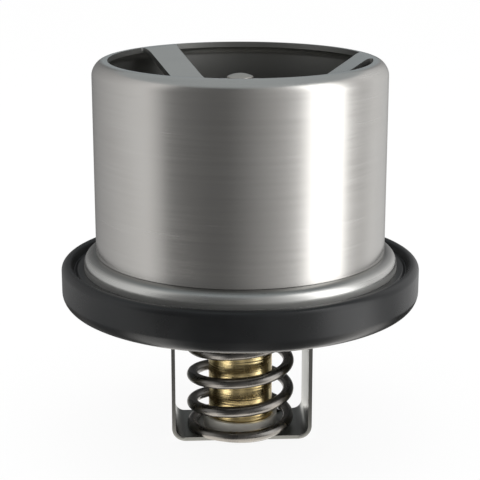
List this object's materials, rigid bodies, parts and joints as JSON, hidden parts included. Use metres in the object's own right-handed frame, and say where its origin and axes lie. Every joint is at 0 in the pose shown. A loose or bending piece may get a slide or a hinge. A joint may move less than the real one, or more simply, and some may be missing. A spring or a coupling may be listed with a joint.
{
  "type": "engine thermostat",
  "caption": "Full-blocking sleeve thermostat: a drawn steel sleeve with dished arms over a rubber-rimmed flange, lifted by a brass wax element against a coil spring.",
  "frame": {"origin": "centre of the rubber rim, halfway up its straight outer wall", "axes": "+Z along the axis, from the spring towards the sleeve; +X towards one leg of the stirrup"},
  "size_m": [0.067, 0.067, 0.0716],
  "materials": {
    "sleeve_steel": "brushed round the sleeve",
    "piston_steel": "ground",
    "stirrup_steel": "rolled strip",
    "flange_steel": "bright pressed",
    "bridge_steel": "pressed",
    "spring_steel": "dark oil-tempered wire",
    "cup_brass": "drawn",
    "guide_brass": "turned",
    "rim_rubber": "moulded",
    "boot_rubber": "moulded",
    "wax": "cast",
    "washer_white": "cut"
  },
  "bodies": {
    "base": {"flange_plate": "flange_steel", "flange_seal": "rim_rubber", "bridge": "bridge_steel", "element_cup": "cup_brass", "element_guide": "guide_brass", "rubber_boot": "boot_rubber", "wax_charge": "wax", "anti_chafe_washer": "washer_white", "return_spring": "spring_steel"},
    "valve": {"sleeve": "sleeve_steel", "piston": "piston_steel", "stirrup": "stirrup_steel"}
  },
  "joints": [
    {"name": "valve_lift", "type": "slide", "parent": "base", "child": "valve", "axis": [0, 0, 1], "range_m": [0, 0.01], "stiffness_N_per_m": 7200, "springref_m": -0.009, "deforming": ["return_spring"]}
  ]
}
